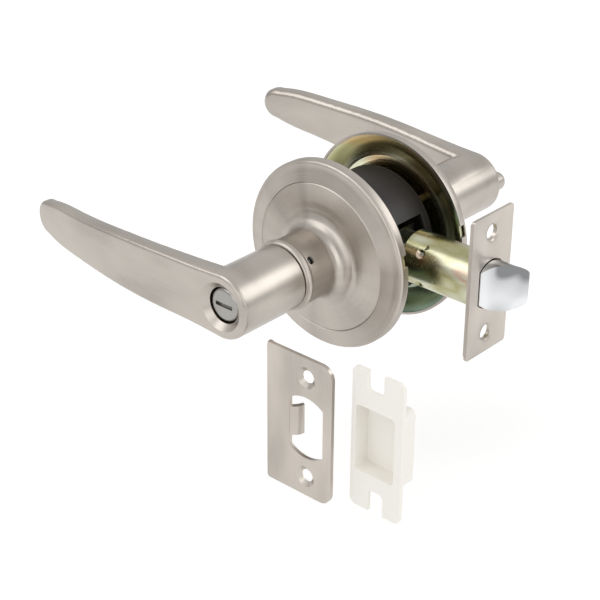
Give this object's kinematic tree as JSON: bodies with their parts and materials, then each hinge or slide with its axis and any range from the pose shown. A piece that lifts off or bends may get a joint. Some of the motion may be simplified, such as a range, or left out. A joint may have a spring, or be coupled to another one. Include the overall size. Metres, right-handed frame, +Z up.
{
  "type": "privacy door lever lock",
  "caption": "Cylindrical privacy door lever lock: turning a lever draws the spring bolt, a thumb turn locks it; with strike plate and dust box.",
  "frame": {"origin": "where the spindle axis meets the latch axis, at the middle of the chassis", "axes": "+X towards the latch bolt, +Y along the spindle towards the inside lever, +Z up"},
  "size_m": [0.186, 0.1611, 0.1034],
  "materials": {
    "satin_nickel": "satin nickel plate, fine brushed grain",
    "yellow_zinc": "yellow chromate zinc plate",
    "bright_zinc": "bright zinc plate",
    "black_steel": "black coated steel",
    "spring_steel": "plain spring wire",
    "chrome": "polished plate",
    "ivory_plastic": "moulded, matt"
  },
  "bodies": {
    "lock_body": {"outside_rose_cover": "satin_nickel", "outside_rose_liner": "yellow_zinc", "outside_hub_sleeve": "yellow_zinc", "outside_return_spring": "spring_steel", "outside_chassis_cap": "black_steel", "inside_rose_cover": "satin_nickel", "inside_rose_liner": "yellow_zinc", "inside_hub_sleeve": "yellow_zinc", "inside_return_spring": "spring_steel", "inside_chassis_cap": "black_steel", "chassis_housing": "black_steel", "mounting_screw_upper": "bright_zinc", "mounting_screw_lower": "bright_zinc", "retractor_guide": "bright_zinc", "retractor_spring_upper": "spring_steel", "retractor_spring_lower": "spring_steel", "latch_tube": "yellow_zinc", "latch_faceplate": "satin_nickel", "latch_backplate": "bright_zinc", "latch_bushing": "bright_zinc", "latch_bolt_spring": "spring_steel", "strike_plate": "satin_nickel", "dust_box": "ivory_plastic"},
    "outside_handle": {"outside_lever": "satin_nickel", "outside_lever_spindle": "bright_zinc", "outside_catch_spring": "spring_steel"},
    "inside_handle": {"inside_lever": "satin_nickel", "inside_lever_spindle": "bright_zinc", "inside_catch_spring": "spring_steel"},
    "outside_catch": {"outside_lever_catch": "bright_zinc"},
    "inside_catch": {"inside_lever_catch": "bright_zinc"},
    "retractor": {"retractor_slide": "bright_zinc"},
    "latch": {"latch_bolt": "chrome", "latch_tail": "bright_zinc"},
    "lock_turn": {"inside_turn_button": "satin_nickel", "locking_bar": "bright_zinc", "locking_cam": "bright_zinc", "outside_release_disc": "satin_nickel"}
  },
  "joints": [
    {"name": "outside_lever_turn", "type": "hinge", "parent": "lock_body", "child": "outside_handle", "pos_m": [0, 0, 0], "axis": [0, -1, 0], "range_deg": [0, 45], "stiffness_Nm_per_rad": 0.45, "springref_deg": -17.19},
    {"name": "inside_lever_turn", "type": "hinge", "parent": "lock_body", "child": "inside_handle", "pos_m": [0, 0, 0], "axis": [0, -1, 0], "range_deg": [0, 51], "stiffness_Nm_per_rad": 0.45, "springref_deg": -17.19},
    {"name": "retractor_pull", "type": "slide", "parent": "lock_body", "child": "retractor", "axis": [-1, 0, 0], "range_m": [0, 0.012], "deforming": ["retractor_spring_upper", "retractor_spring_lower"]},
    {"name": "latch_retract", "type": "slide", "parent": "lock_body", "child": "latch", "axis": [-1, 0, 0], "range_m": [0, 0.012], "deforming": ["latch_bolt_spring"]},
    {"name": "thumb_turn", "type": "hinge", "parent": "lock_body", "child": "lock_turn", "pos_m": [0, 0, 0], "axis": [0, 1, 0], "range_deg": [0, 90]},
    {"name": "outside_catch_press", "type": "slide", "parent": "outside_handle", "child": "outside_catch", "axis": [-0.766, 0, -0.6428], "range_m": [0, 0.0019], "stiffness_N_per_m": 300, "springref_m": -0.001, "deforming": ["outside_catch_spring"]},
    {"name": "inside_catch_press", "type": "slide", "parent": "inside_handle", "child": "inside_catch", "axis": [-0.829, 0, -0.5592], "range_m": [0, 0.0019], "stiffness_N_per_m": 300, "springref_m": -0.001, "deforming": ["inside_catch_spring"]}
  ],
  "couplings": [
    {"joint": "retractor_pull", "follows": "outside_lever_turn", "m_per_rad": 0.01527},
    {"joint": "latch_retract", "follows": "outside_lever_turn", "m_per_rad": 0.01527}
  ]
}
